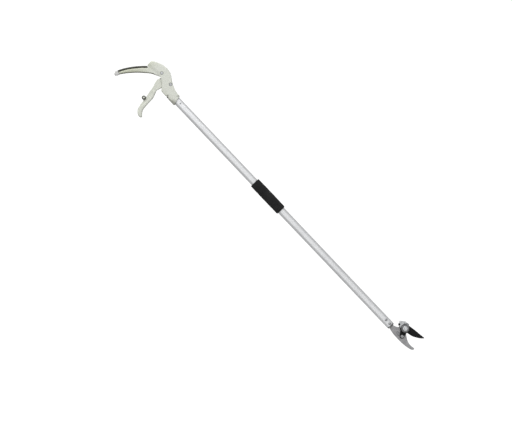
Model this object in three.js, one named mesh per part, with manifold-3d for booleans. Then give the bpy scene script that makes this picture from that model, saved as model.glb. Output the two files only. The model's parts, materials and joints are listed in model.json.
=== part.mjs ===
// Long-reach bypass pruner: a cast pistol handle with a trigger, a flat-sided pole with a foam grip,
// a pull rod inside the pole, and a cutting head with a swinging blade and a fixed hooked counter blade.
//
// Units are millimetres. +Z runs along the pole from the cutting head to the handle, the trigger and
// the blade swing in the XZ plane, and Y is the thickness. The origin is the middle of the foam grip,
// on the pole's axis. Everything is drawn at rest: trigger released, blade open.

import * as THREE from 'three';
import { mergeVertices } from 'three/addons/utils/BufferGeometryUtils.js';
import Module from 'manifold-3d';

const wasm = await Module();
wasm.setup();

// ---- Driving dimensions -------------------------------------------------------------------------

const GAP = 0.3; // clearance left between pieces that touch

// Pole: an obround tube, wide in X and flat on its two Y sides.
const POLE_WIDTH = 24;
const POLE_THICKNESS = 18;
const POLE_WALL = 1.5;
const POLE_BOTTOM = -542.4;
const SOCKET_MOUTH = 402.4;
const POLE_IN_SOCKET = 33;
const POLE_SEGMENTS = 10; // the pole's flat sides are faceted in lengths, so that each face is local

// Foam grip, centred on the origin.
const GRIP_LENGTH = 117;
const GRIP_WIDTH = 33.5;
const GRIP_THICKNESS = 27.5;

// Handle casting, measured from the socket mouth.
const BODY_HALF = 13.5; // half thickness of the cheeks and the socket
const HORN_HALF = 11; // half thickness of the horn
const SLOT_HALF = 6.5; // half width of the trigger slot between the cheeks
const SOCKET_HALF_WIDTH = 16.5;
const MOUTH_SLOPE = 0.28; // the socket mouth is cut on a slant
const TOP_PAD = 5.5; // thickness of the horn's rubber top pad

// Trigger and its pivot.
const TRIGGER_PIVOT = [20.2, 48.5];
const TRIGGER_TRAVEL = THREE.MathUtils.degToRad(42);
const ROD_TRAVEL = 17;
const WEB_HALF = 6; // half thickness of the trigger's web
const PAD_HALF = 11; // half thickness of the trigger's finger pad
const ARM_HALF = 3; // half thickness of the arm's end, inside the yoke
const HUB_RADIUS = 5.4;
const SCREW_RADIUS = 2.5;
const YOKE_PIN_RADIUS = 2.5;
const BUMPER = [-66.5, 76.3];
const BUMPER_RADIUS = 6.4;

// The yoke pin swings on an arm whose rise over the full travel is the rod's travel.
const ARM_LENGTH = ROD_TRAVEL / 2 / Math.sin(TRIGGER_TRAVEL / 2);
const YOKE_PIN = [
  TRIGGER_PIVOT[0] - ARM_LENGTH * Math.cos(TRIGGER_TRAVEL / 2),
  TRIGGER_PIVOT[1] - ROD_TRAVEL / 2,
];

// Pull rod.
const ROD_RADIUS = 2.5;
const COUPLER_TOP = 92; // the coupler's span, above the pole's lower end
const COUPLER_BOTTOM = 54;

// Cutting head, measured from the pole's lower end. Y runs from the blade's side (low) to the back.
const BLADE_PIVOT = [26.2, -36.6];
const LINK_PIN = [2.7, -48.5];
const LINK_PIN_RADIUS = 2.5;
const LINK_SWING = 38; // degrees that the blade turns
const COUNTER_BLADE_Y = [-3.7, 0.8];
const BLADE_Y = [-8, -4];
const BAR_Y = [1.2, 4.2];
const BRACKET_Y = [-11.1, -9.6];
const SPRING_Y = [-16.3, -12.3]; // centre of the spring wire at its two ends
const DISC_Y = [-19.4, -17.4];
const NUT_Y = [-24.7, -19.7];
const BOLT_END_Y = -26;
const BOLT_RADIUS = 4;
const BUSHING_RADIUS = 6.4;
const TANG_RIVETS = [5.5, 21.7]; // heights of the two rivets that hold the tang
const TANG_RIVET_X = 2;
const TANG_RIVET_RADIUS = 2;
const BAR_HALF_WIDTH = 4.6;
const PLUG_FLANGE = 4.6; // length of the plug's tapered nose below the pole
const SPRING_POST = [21.4, -15.3];
const SPRING_RADIUS = 12;
const WIRE_RADIUS = 0.75;
const SPRING_HOLE = [31.5, -52]; // where the spring's moving leg enters the blade

// ---- Materials ----------------------------------------------------------------------------------

const surface = (color, roughness, metalness) => () =>
  new THREE.MeshStandardMaterial({ color, roughness, metalness });

const creamPaint = surface(0xd2d4cb, 0.45, 0.1);
const blackRubber = surface(0x2b2c28, 0.8, 0);
const blackFoam = surface(0x282828, 0.95, 0);
const lightPlastic = surface(0xc6c6c6, 0.5, 0);
const blackPlastic = surface(0x2a2a2a, 0.6, 0);
const anodised = surface(0xd8dadb, 0.3, 0.9);
const zinc = surface(0xc0c2c4, 0.35, 0.9);
const greySteel = surface(0x848484, 0.5, 0.8);
const blackSteel = surface(0x262626, 0.4, 0.6);
const naturalNylon = surface(0xe4e0d2, 0.6, 0);

// ---- Outlines in the XZ plane -------------------------------------------------------------------

const vector = ([x, z]) => new THREE.Vector2(x, z);

const straight = (...points) => points.map(vector);

const curved = (steps, ...points) => new THREE.SplineCurve(points.map(vector)).getPoints(steps);

// Points of an arc, angles in degrees counted from +X towards +Z.
function arc([x, z], radius, from, to, steps = 10) {
  const points = [];
  for (let i = 0; i <= steps; i += 1) {
    const angle = THREE.MathUtils.degToRad(from + ((to - from) * i) / steps);
    points.push(new THREE.Vector2(x + radius * Math.cos(angle), z + radius * Math.sin(angle)));
  }
  return points;
}

// Joins runs of points into one closed shape, leaving out repeated points.
function outline(...runs) {
  const points = [];
  for (const next of runs.flat()) {
    const last = points[points.length - 1];
    if (!last || last.distanceTo(next) > 0.05) {
      points.push(next);
    }
  }
  if (points[0].distanceTo(points[points.length - 1]) < 0.05) {
    points.pop();
  }
  return new THREE.Shape(points);
}

// A run of points beside a spline: distance to the left of its direction, from t0 to t1.
function beside(controls, distance, steps, t0 = 0, t1 = 1) {
  const spline = new THREE.SplineCurve(controls.map(vector));
  const points = [];
  for (let i = 0; i <= steps; i += 1) {
    const t = t0 + ((t1 - t0) * i) / steps;
    const along = spline.getTangent(t);
    const left = new THREE.Vector2(-along.y, along.x);
    points.push(spline.getPoint(t).addScaledVector(left, distance));
  }
  return points;
}

function circle([x, z], radius, steps = 18) {
  return outline(arc([x, z], radius, 0, 360, steps));
}

// A slot with round ends between two points.
function slot([x0, z0], [x1, z1], radius) {
  const tilt = THREE.MathUtils.radToDeg(Math.atan2(z1 - z0, x1 - x0));
  return outline(
    arc([x0, z0], radius, tilt + 90, tilt + 270),
    arc([x1, z1], radius, tilt - 90, tilt + 90),
  );
}

function obround(halfWidth, halfThickness) {
  const reach = halfWidth - halfThickness;
  return slot([-reach, 0], [reach, 0], halfThickness);
}

function hexagon([x, z], acrossFlats) {
  return outline(arc([x, z], acrossFlats / Math.sqrt(3), 0, 360, 6));
}

// ---- Solids -------------------------------------------------------------------------------------

function solid(geometry) {
  geometry.deleteAttribute('normal');
  geometry.deleteAttribute('uv');
  const merged = mergeVertices(geometry, 1e-4);
  const corners = merged.index.array;
  const triangles = [];
  for (let i = 0; i < corners.length; i += 3) {
    const [a, b, c] = [corners[i], corners[i + 1], corners[i + 2]];
    if (a !== b && b !== c && c !== a) {
      triangles.push(a, b, c);
    }
  }
  return new wasm.Manifold(new wasm.Mesh({
    numProp: 3,
    vertProperties: new Float32Array(merged.attributes.position.array),
    triVerts: new Uint32Array(triangles),
  }));
}

const join = (first, ...others) => others.reduce((whole, piece) => whole.add(piece), first);

const cut = (first, ...others) => others.reduce((whole, piece) => whole.subtract(piece), first);

// An XZ outline given thickness in Y, with its edges rounded by a bevel.
function plate(shape, [low, high], bevel = 0, bevelSegments = 1) {
  const geometry = new THREE.ExtrudeGeometry(shape, {
    depth: high - low - 2 * bevel,
    bevelEnabled: bevel > 0,
    bevelThickness: bevel,
    bevelSize: bevel,
    bevelOffset: -bevel,
    bevelSegments,
  });
  geometry.rotateX(Math.PI / 2);
  geometry.translate(0, high - bevel, 0);
  return solid(geometry);
}

// An XY outline drawn out along Z.
function column(shape, low, high, steps = 1) {
  const geometry = new THREE.ExtrudeGeometry(shape, { depth: high - low, bevelEnabled: false, steps });
  geometry.translate(0, 0, low);
  return solid(geometry);
}

const rod = (centre, radius, span, steps = 18) => plate(circle(centre, radius, steps), span);

// A turned piece on an axis parallel to Y: profile points are [radius, y] and close on the axis.
function turned([x, z], profile, segments = 16) {
  const geometry = new THREE.LatheGeometry(profile.map(vector), segments);
  geometry.translate(x, 0, z);
  return solid(geometry);
}

function block([x0, x1], [y0, y1], [z0, z1]) {
  const geometry = new THREE.BoxGeometry(x1 - x0, y1 - y0, z1 - z0);
  geometry.translate((x0 + x1) / 2, (y0 + y1) / 2, (z0 + z1) / 2);
  return solid(geometry);
}

function shapeOf(manifold) {
  const { vertProperties, triVerts } = manifold.getMesh();
  const geometry = new THREE.BufferGeometry();
  geometry.setAttribute('position', new THREE.BufferAttribute(new Float32Array(vertProperties), 3));
  geometry.setIndex(new THREE.BufferAttribute(new Uint32Array(triVerts), 1));
  const faceted = geometry.toNonIndexed();
  faceted.computeVertexNormals();
  return faceted;
}

function part(name, manifold, material) {
  const mesh = new THREE.Mesh(shapeOf(manifold), material());
  mesh.name = name;
  return mesh;
}

// ---- Handle (heights from the socket mouth) -----------------------------------------------------

const HORN_TOP = [[8, 139], [-4.6, 151], [-21.4, 164.7], [-36.6, 175.4], [-51.9, 184.5], [-66, 191.3]];
const HORN_UNDER = [[-70.3, 178.7], [-56.4, 169.3], [-41.2, 157.1], [-24.4, 141.8], [-10.1, 126.6], [0, 114.4],
  [6.7, 102.2], [13, 90]];
const TENON = [[-62, 180.1], [-74.5, 187.1]]; // the peg that carries the horn's end cap
const TENON_HALF = 1.8;

const CHEEK_SCREW = [24.4, 92.4];
const CLAMP_SCREW_HEIGHT = 27;

function bodyOutline() {
  return outline(
    curved(26, [16.2, 8], [16.6, 17], [20.4, 32], [25.4, 44.2], [32.2, 56.4], [39, 65.6], [45.1, 77.8],
      [46.7, 90], [45.8, 102.2], [41.2, 117.4], [33.6, 132.7], [27.5, 141.3]),
    straight([9.2, 141.3]),
    straight([12, 100]),
    curved(12, [13.7, 86], [8.5, 77.8], [0.5, 67.5], [-6.1, 61], [-14.6, 53.4]),
    straight([-15.3, 35.1], [-13.1, 30], [-13.2, 18], [-12, 8]),
  );
}

function hornOutline() {
  return outline(
    straight([24, 92], [24, 139]),
    beside(HORN_TOP, TOP_PAD + GAP, 14),
    curved(18, ...HORN_UNDER),
  );
}

// The slot leaves room for the trigger's web over its whole swing, and opens behind its hub.
function triggerSlot() {
  return outline(
    straight([-40, 33.5], [26, 33.5], [26, 41], [60, 41], [60, 59.5], [32.6, 59.5]),
    straight([36.5, 68], [40.5, 80], [39.5, 84.5], [33.5, 94], [25, 99.5], [8.5, 105.5], [2, 109.5]),
    straight([-10, 112], [-40, 100]),
  );
}

function socketMouthCut() {
  const geometry = new THREE.BoxGeometry(90, 60, 40);
  geometry.translate(0, 0, -20);
  geometry.rotateY(-Math.atan(MOUTH_SLOPE));
  return solid(geometry);
}

function handleBody() {
  const mould = join(
    plate(bodyOutline(), [-BODY_HALF, BODY_HALF], 2, 2),
    plate(hornOutline(), [-HORN_HALF, HORN_HALF], 2),
    column(obround(SOCKET_HALF_WIDTH, BODY_HALF), -8, 23),
    plate(slot(...TENON, TENON_HALF), [-3, 3]),
  );
  const poleBore = column(obround(POLE_WIDTH / 2 + GAP, POLE_THICKNESS / 2 + GAP), -20, 33.8);
  return cut(
    mould,
    socketMouthCut(),
    poleBore,
    plate(triggerSlot(), [-SLOT_HALF, SLOT_HALF]),
    rod(TRIGGER_PIVOT, SCREW_RADIUS + 0.15, [-20, 20]),
    rod(TRIGGER_PIVOT, 4.9, [-20, -BODY_HALF + 3.5]),
    rod(TRIGGER_PIVOT, 4.9, [BODY_HALF - 3.5, 20]),
    rod(CHEEK_SCREW, 2.15, [-20, -SLOT_HALF - 1]),
    rod(CHEEK_SCREW, 2.15, [SLOT_HALF + 1, 20]),
    rod(CHEEK_SCREW, 4.6, [-20, -BODY_HALF + 2.2]),
    rod(CHEEK_SCREW, 4.6, [BODY_HALF - 2.2, 20]),
    rod([0, 0], 3.15, [0, 30]).rotate([0, 0, 90]).translate([0, 0, CLAMP_SCREW_HEIGHT]),
  );
}

// The rubber pad lies along the top of the horn.
function hornTopPad() {
  const pad = outline(beside(HORN_TOP, 0, 14), beside(HORN_TOP, TOP_PAD, 14, 1, 0));
  return plate(pad, [-HORN_HALF + 0.5, HORN_HALF - 0.5], 1.5);
}

function hornEndCap() {
  const tip = outline(
    straight([-69, 186.2], [-66.5, 191.7]),
    curved(8, [-68.6, 192.7], [-73.5, 194.2], [-80.4, 192.2], [-83.8, 187.6], [-81, 183.2], [-73, 179.2]),
    straight([-70.8, 178.6]),
  );
  const pocket = slot(...TENON, TENON_HALF + GAP);
  return cut(plate(tip, [-HORN_HALF + 0.5, HORN_HALF - 0.5], 2), plate(pocket, [-3 - GAP, 3 + GAP]));
}

// A socket-head screw: shank, head and a hexagonal key recess, entering from low Y.
function capScrew(centre, headRadius, shankRadius, headLow, headHigh, end, key) {
  const body = turned(centre, [
    [0, headLow],
    [headRadius - 0.5, headLow],
    [headRadius, headLow + 0.5],
    [headRadius, headHigh],
    [shankRadius, headHigh],
    [shankRadius, end],
    [0, end],
  ]);
  return cut(body, plate(hexagon(centre, key), [headLow - 1, headLow + 1.6]));
}

const mirrorY = (manifold) => manifold.mirror([0, 1, 0]);

function nut(centre, acrossFlats, bore, span) {
  return cut(plate(hexagon(centre, acrossFlats), span), rod(centre, bore, [span[0] - 1, span[1] + 1]));
}

// A grub screw on an axis parallel to X, pressing on the pole's wall.
function clampScrew() {
  const tip = -POLE_WIDTH / 2 - GAP;
  const screw = turned([0, 0], [[0, 0], [2.6, 0], [3, 0.5], [3, 3.2], [0, 3.2]]);
  const key = plate(hexagon([0, 0], 3), [1.6, 5]);
  return cut(screw, key).rotate([0, 0, 90]).translate([tip, 0, CLAMP_SCREW_HEIGHT]);
}

// ---- Trigger ------------------------------------------------------------------------------------

const FINGER_EDGE = [[-27, 64.3], [-45.8, 56.6], [-61, 55.3], [-85.4, 53.2], [-98, 49.8], [-108, 41]];

function webOutline() {
  const lean = THREE.MathUtils.radToDeg(Math.asin(ROD_TRAVEL / 2 / ARM_LENGTH));
  return outline(
    curved(18, [14, 84.5], [10.7, 86], [0, 88.3], [-9.2, 86.6], [-24.4, 80.8], [-36.6, 78.9], [-51.9, 75.6],
      [-61, 73.2], [-76.3, 71], [-91.5, 68], [-103.7, 64.5], [-113, 56.4], [-115.6, 48], [-114, 41]),
    straight([-107, 42.5]),
    curved(8, [-98, 51.2], [-85.4, 54.6], [-61, 56.8], [-45.8, 58], [-33.6, 61.4], [-24.4, 65.6]),
    curved(6, [-18.3, 64.1], [-7.6, 61], [0, 55.5], [3, 50]),
    arc(YOKE_PIN, HUB_RADIUS, 90 + lean, 270 + lean, 10),
    arc(TRIGGER_PIVOT, HUB_RADIUS, lean - 90, lean + 40, 8),
    straight([22.5, 62]),
  );
}

function padOutline() {
  return outline(
    beside(FINGER_EDGE, 0, 12, 0, 1),
    curved(6, [-110.8, 37.8], [-115.5, 39.4], [-117, 47.5], [-113.4, 55.6], [-107, 60]),
    beside(FINGER_EDGE, -9.5, 10, 0.85, 0),
  );
}

function triggerCasting() {
  const casting = join(
    plate(webOutline(), [-WEB_HALF, WEB_HALF], 0.8, 1),
    plate(padOutline(), [-PAD_HALF, PAD_HALF], 2),
    rod(BUMPER, 5.2, [-WEB_HALF, WEB_HALF]),
  );
  const armReach = 10.5;
  return cut(
    casting,
    rod(TRIGGER_PIVOT, SCREW_RADIUS + 0.2, [-20, 20]),
    rod(YOKE_PIN, YOKE_PIN_RADIUS + 0.15, [-20, 20]),
    rod(YOKE_PIN, armReach, [-20, -ARM_HALF]),
    rod(YOKE_PIN, armReach, [ARM_HALF, 20]),
    rod(BUMPER, 3.25, [-20, 20]),
  );
}

function bumperRing() {
  const [low, high] = [-11.2, -WEB_HALF - GAP];
  return cut(
    turned(BUMPER, [
      [0, low],
      [BUMPER_RADIUS - 1.2, low],
      [BUMPER_RADIUS, low + 1.2],
      [BUMPER_RADIUS, high],
      [0, high],
    ]),
    rod(BUMPER, 3.4, [low - 1, high + 1]),
  );
}

function bumperPin() {
  return turned(BUMPER, [[0, -12], [2.4, -12], [3.1, -11.3], [3.1, 11.3], [2.4, 12], [0, 12]]);
}

// ---- Pull rod (heights from the socket mouth at the top, from the pole's end at the bottom) -------

const YOKE_CENTRE = TRIGGER_PIVOT[0] - (ARM_LENGTH * (1 + Math.cos(TRIGGER_TRAVEL / 2))) / 2;
const YOKE_SWAY = (ARM_LENGTH * (1 - Math.cos(TRIGGER_TRAVEL / 2))) / 2;
const YOKE_HALF_WIDTH = 6.2;
const YOKE_HALF = 6.2;
const YOKE_BASE = [YOKE_PIN[1] - 19, YOKE_PIN[1] - 9.5];
const ROD_TOP = YOKE_BASE[1] - 1.5;

function rodYoke() {
  const [left, right] = [YOKE_CENTRE - YOKE_HALF_WIDTH, YOKE_CENTRE + YOKE_HALF_WIDTH];
  const room = column(obround(POLE_WIDTH / 2 - POLE_WALL - GAP, POLE_THICKNESS / 2 - POLE_WALL - GAP), 0, 90);
  const fork = block([left, right], [-YOKE_HALF, YOKE_HALF], [YOKE_BASE[0], YOKE_PIN[1] + 5.5]).intersect(room);
  const mouth = block([left - 5, right + 5], [-ARM_HALF - GAP, ARM_HALF + GAP], [YOKE_BASE[1], 90]);
  const eye = slot(
    [YOKE_CENTRE - YOKE_SWAY - 0.2, YOKE_PIN[1]],
    [YOKE_CENTRE + YOKE_SWAY + 0.2, YOKE_PIN[1]],
    YOKE_PIN_RADIUS + 0.45,
  );
  const bore = column(circle([0, 0], ROD_RADIUS + 0.15), YOKE_BASE[0] - 5, ROD_TOP + 0.3);
  return cut(fork, mouth, plate(eye, [-20, 20]), bore);
}

function lockNut(low) {
  return cut(
    column(hexagon([0, 0], 8), low, low + 4),
    column(circle([0, 0], ROD_RADIUS + 0.15), low - 1, low + 5),
  );
}

function rodCoupler() {
  return cut(
    block([-7, 7], [-4.5, 5.9], [COUPLER_BOTTOM, COUPLER_TOP]),
    column(circle([0, 0], ROD_RADIUS + 0.15), COUPLER_TOP - 14.3, COUPLER_TOP + 5),
    block([-4.3, 4.3], [BAR_Y[0] - GAP, BAR_Y[1] + GAP], [COUPLER_BOTTOM - 5, COUPLER_BOTTOM + 18]),
    rod([0, COUPLER_BOTTOM + 9], 1.75, [-20, 20]),
  );
}

// The bar's slot lets it slide past the tang rivets; its eye lets the link pin swing sideways.
function pullBar() {
  const eyeCentre = BLADE_PIVOT[0] - 24.85;
  const bar = join(
    plate(slot([0, COUPLER_BOTTOM + 13.5], [0, 20], 4), BAR_Y),
    plate(slot([TANG_RIVET_X, 30], [TANG_RIVET_X, -20], BAR_HALF_WIDTH), BAR_Y),
    plate(outline(straight([-2.6, -16], [-6.4, -48], [9.2, -48], [6.4, -22])), BAR_Y),
    plate(slot([0, LINK_PIN[1]], [2.8, LINK_PIN[1]], 6.4), BAR_Y),
  );
  return cut(
    bar,
    plate(slot([TANG_RIVET_X, -12], [TANG_RIVET_X, 22.2], TANG_RIVET_RADIUS + GAP), [0, 6]),
    plate(slot([eyeCentre - 1.4, LINK_PIN[1]], [eyeCentre + 1.4, LINK_PIN[1]], LINK_PIN_RADIUS + 0.5), [0, 6]),
    rod([0, COUPLER_BOTTOM + 9], 1.75, [0, 6]),
  );
}

// ---- Pole ---------------------------------------------------------------------------------------

function poleTube() {
  const section = obround(POLE_WIDTH / 2, POLE_THICKNESS / 2);
  const top = SOCKET_MOUTH + POLE_IN_SOCKET;
  const bottom = POLE_BOTTOM + GAP;
  const core = column(obround(POLE_WIDTH / 2 - POLE_WALL, POLE_THICKNESS / 2 - POLE_WALL), bottom - 5, top + 5);
  const holes = TANG_RIVETS.map((height) => POLE_BOTTOM + height);
  return cut(
    column(section, bottom, top, POLE_SEGMENTS),
    core,
    ...holes.map((height) => rod([TANG_RIVET_X, height], TANG_RIVET_RADIUS + 0.15, [-20, 20])),
    rod([2.4, SOCKET_MOUTH - 13.1], 1.65, [-20, 0]),
  );
}

function foamGrip() {
  const half = GRIP_LENGTH / 2;
  const geometry = new THREE.ExtrudeGeometry(obround(GRIP_WIDTH / 2, GRIP_THICKNESS / 2), {
    depth: GRIP_LENGTH - 6,
    bevelEnabled: true,
    bevelThickness: 3,
    bevelSize: 3,
    bevelOffset: -3,
    bevelSegments: 2,
  });
  geometry.translate(0, 0, -half + 3);
  return cut(solid(geometry), column(obround(POLE_WIDTH / 2 + GAP, POLE_THICKNESS / 2 + GAP), -half - 5, half + 5));
}

// A nylon disc inside the pole with a hole for the rod.
function rodGuide(height) {
  return cut(
    column(obround(POLE_WIDTH / 2 - POLE_WALL - GAP, POLE_THICKNESS / 2 - POLE_WALL - GAP), height - 5, height + 5),
    column(circle([0, 0], ROD_RADIUS + GAP), height - 10, height + 10),
  );
}

// A blind rivet through one wall of the pole.
function poleRivet() {
  const wall = -POLE_THICKNESS / 2;
  return turned([2.4, SOCKET_MOUTH - 13.1], [
    [0, wall - 1.5],
    [1.6, wall - 1.2],
    [2.6, wall - GAP],
    [1.5, wall - GAP],
    [1.5, wall + POLE_WALL],
    [0, wall + POLE_WALL],
  ], 12);
}

// ---- Cutting head (heights from the pole's lower end) ---------------------------------------------

function tubeEndPlug() {
  const chamfer = 2.8;
  const flange = new THREE.ExtrudeGeometry(obround(POLE_WIDTH / 2, POLE_THICKNESS / 2), {
    depth: 2 * PLUG_FLANGE - 2 * chamfer,
    bevelEnabled: true,
    bevelThickness: chamfer,
    bevelSize: chamfer,
    bevelOffset: -chamfer,
    bevelSegments: 1,
  });
  flange.translate(0, 0, chamfer - PLUG_FLANGE);
  const lowerHalf = solid(flange).subtract(block([-20, 20], [-20, 20], [0, 20]));
  const insert = obround(POLE_WIDTH / 2 - POLE_WALL - GAP, POLE_THICKNESS / 2 - POLE_WALL - GAP);
  return cut(
    join(lowerHalf, column(insert, -1, 30)),
    block([-8.2, 7], [COUNTER_BLADE_Y[0] - GAP, BAR_Y[1] + GAP], [-20, 40]),
    ...TANG_RIVETS.map((height) => rod([TANG_RIVET_X, height], TANG_RIVET_RADIUS + 0.15, [-20, 20])),
  );
}

function tangRivet(height) {
  const face = POLE_THICKNESS / 2 + GAP;
  return turned([TANG_RIVET_X, height], [
    [0, -face - 2],
    [2.2, -face - 1.7],
    [3.8, -face - 0.8],
    [4.2, -face],
    [TANG_RIVET_RADIUS, -face],
    [TANG_RIVET_RADIUS, face],
    [4.2, face],
    [3.8, face + 0.8],
    [2.2, face + 1.7],
    [0, face + 2],
  ]);
}

// Angle of the link pin's radius at rest, in degrees from +X towards +Z.
const LINK_REST = THREE.MathUtils.radToDeg(
  Math.atan2(LINK_PIN[1] - BLADE_PIVOT[1], LINK_PIN[0] - BLADE_PIVOT[0]),
) + 360;
const LINK_RADIUS = Math.hypot(LINK_PIN[0] - BLADE_PIVOT[0], LINK_PIN[1] - BLADE_PIVOT[1]);

function counterBladeOutline() {
  return outline(
    straight([6.7, 32], [-7.9, 32], [-7.9, -4]),
    curved(16, [-8.2, -6], [-10.1, -14.3], [-11.9, -26.5], [-12.5, -44.8], [-11.9, -63.1], [-9.5, -81.4],
      [-7.3, -90.6], [-4.6, -98.2], [0.4, -102.8]),
    curved(12, [3.1, -102.4], [4.2, -99.7], [2.9, -90.6], [2.7, -81.4], [4.9, -72.3], [9.2, -63.1],
      [14.3, -55.5], [18.6, -50]),
    arc(BLADE_PIVOT, 11.6, 285, 480, 18),
    curved(5, [18.4, -24.5], [16.2, -22], [11.6, -17.4], [8.5, -11.3], [6.7, -4]),
  );
}

// The arc slot that the link pin runs in.
function linkSlot() {
  const [from, to] = [LINK_REST + 1.5, LINK_REST - LINK_SWING - 1.5];
  const half = LINK_PIN_RADIUS + 0.6;
  const end = (angle) => {
    const radians = THREE.MathUtils.degToRad(angle);
    return [BLADE_PIVOT[0] + LINK_RADIUS * Math.cos(radians), BLADE_PIVOT[1] + LINK_RADIUS * Math.sin(radians)];
  };
  return outline(
    arc(BLADE_PIVOT, LINK_RADIUS + half, to, from, 10),
    arc(end(from), half, from, from + 180, 8),
    arc(BLADE_PIVOT, LINK_RADIUS - half, from, to, 10),
    arc(end(to), half, to + 180, to + 360, 8),
  );
}

function counterBlade() {
  return cut(
    plate(counterBladeOutline(), COUNTER_BLADE_Y),
    plate(linkSlot(), [-20, 20]),
    rod(BLADE_PIVOT, BOLT_RADIUS + 0.15, [-20, 20]),
    ...TANG_RIVETS.map((height) => rod([TANG_RIVET_X, height], TANG_RIVET_RADIUS + 0.15, [-20, 20])),
  );
}

function cuttingBladeOutline() {
  return outline(
    arc(LINK_PIN, 7, 120, 265, 12),
    straight([10, -52.6], [18.3, -50.8]),
    curved(14, [20.7, -50.9], [21.7, -55.5], [23.2, -63.1], [26.2, -72.3], [31.4, -81.4], [37.8, -90.6],
      [43.9, -96.7], [47.3, -99.7]),
    straight([48.8, -98.2]),
    curved(4, [46.8, -83], [44, -60], [40.9, -42]),
    arc(BLADE_PIVOT, 14.6, -15, 155, 18),
  );
}

function cuttingBlade() {
  return cut(
    plate(cuttingBladeOutline(), BLADE_Y),
    rod(BLADE_PIVOT, BUSHING_RADIUS + 0.2, [-20, 20]),
    rod(LINK_PIN, LINK_PIN_RADIUS + 0.15, [-20, 20]),
    rod(SPRING_HOLE, WIRE_RADIUS + 0.35, [-20, 20], 12),
  );
}

function pivotBolt() {
  const head = COUNTER_BLADE_Y[1] + GAP;
  const shank = rod(BLADE_PIVOT, BOLT_RADIUS, [BOLT_END_Y, head + 1]);
  return join(shank, plate(hexagon(BLADE_PIVOT, 13), [head, head + 4.5]));
}

function pivotBushing() {
  const span = [DISC_Y[1] + GAP, COUNTER_BLADE_Y[0] - GAP];
  return cut(rod(BLADE_PIVOT, BUSHING_RADIUS, span), rod(BLADE_PIVOT, BOLT_RADIUS + 0.15, [-30, 5]));
}

function bearingWasher() {
  const span = [BRACKET_Y[1] + GAP, BLADE_Y[0] - GAP];
  return cut(rod(BLADE_PIVOT, 11, span), rod(BLADE_PIVOT, BUSHING_RADIUS + 0.2, [-30, 5]));
}

// A bent flap of the bracket: a thin strip along a fold line that leans away by reach and back in Y.
function flap(start, end, reach, drop) {
  const thickness = BRACKET_Y[1] - BRACKET_Y[0];
  const section = outline(
    straight([-1, 0], [0, 0], [reach, drop], [reach - thickness, drop + 0.6], [-0.8, thickness], [-1, thickness]),
  );
  const along = new THREE.Vector3(end[0] - start[0], 0, end[1] - start[1]);
  const geometry = new THREE.ExtrudeGeometry(section, { depth: along.length(), bevelEnabled: false });
  along.normalize();
  const back = new THREE.Vector3(0, 1, 0);
  const out = new THREE.Vector3().crossVectors(back, along);
  geometry.applyMatrix4(new THREE.Matrix4().makeBasis(out, back, along));
  geometry.translate(start[0], BRACKET_Y[0], start[1]);
  return solid(geometry);
}

const BRACKET_FOLD = [[25.5, -11], [38.2, -26.8], [39.8, -38]];

function springBracket() {
  const flat = outline(
    arc(BLADE_PIVOT, 12, 165, 350, 18),
    straight(...[...BRACKET_FOLD].reverse()),
    straight([21.2, -11.9], [18.5, -13.5], [18.2, -16.6], [16.4, -22]),
  );
  return cut(
    join(
      plate(flat, BRACKET_Y),
      flap(BRACKET_FOLD[1], BRACKET_FOLD[0], 5.5, 3.6),
      flap(BRACKET_FOLD[2], BRACKET_FOLD[1], 4.2, 3),
    ),
    rod(BLADE_PIVOT, BUSHING_RADIUS + 0.2, [-30, 5]),
    rod(SPRING_POST, 1.65, [-30, 5]),
    rod(LOCK_SCREW, 1.65, [-30, 5]),
  );
}

const DISC_TEETH = 20;
const DISC_RADIUS = 12.2;
const LOCK_SCREW = [
  BLADE_PIVOT[0] + (DISC_RADIUS + 3) * Math.cos(0.95),
  BLADE_PIVOT[1] + (DISC_RADIUS + 3) * Math.sin(0.95),
];

// The disc's serrated rim keys the pivot nut; the lock screw's head sits in one of its gaps.
function lockDisc() {
  const rim = [];
  for (let tooth = 0; tooth < DISC_TEETH; tooth += 1) {
    const step = 360 / DISC_TEETH;
    const start = tooth * step;
    rim.push(arc(BLADE_PIVOT, DISC_RADIUS, start, start + step * 0.55, 2));
    rim.push(arc(BLADE_PIVOT, DISC_RADIUS - 1.3, start + step * 0.65, start + step * 0.9, 1));
  }
  return cut(plate(outline(...rim), DISC_Y), rod(BLADE_PIVOT, BOLT_RADIUS + 0.15, [-30, 5]));
}

function lockScrew() {
  return turned(LOCK_SCREW, [
    [0, DISC_Y[0]],
    [1.9, DISC_Y[0]],
    [2.3, DISC_Y[0] + 0.5],
    [2.3, DISC_Y[1] + 0.6],
    [1.5, DISC_Y[1] + 0.6],
    [1.5, BRACKET_Y[1] - GAP],
    [0, BRACKET_Y[1] - GAP],
  ], 16);
}

function springPost() {
  return turned(SPRING_POST, [
    [0, -19.4],
    [1.9, -19.1],
    [3.1, -18],
    [3.2, -17.35],
    [1.4, -17.35],
    [1.4, BRACKET_Y[1] - GAP],
    [0, BRACKET_Y[1] - GAP],
  ], 16);
}

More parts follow.
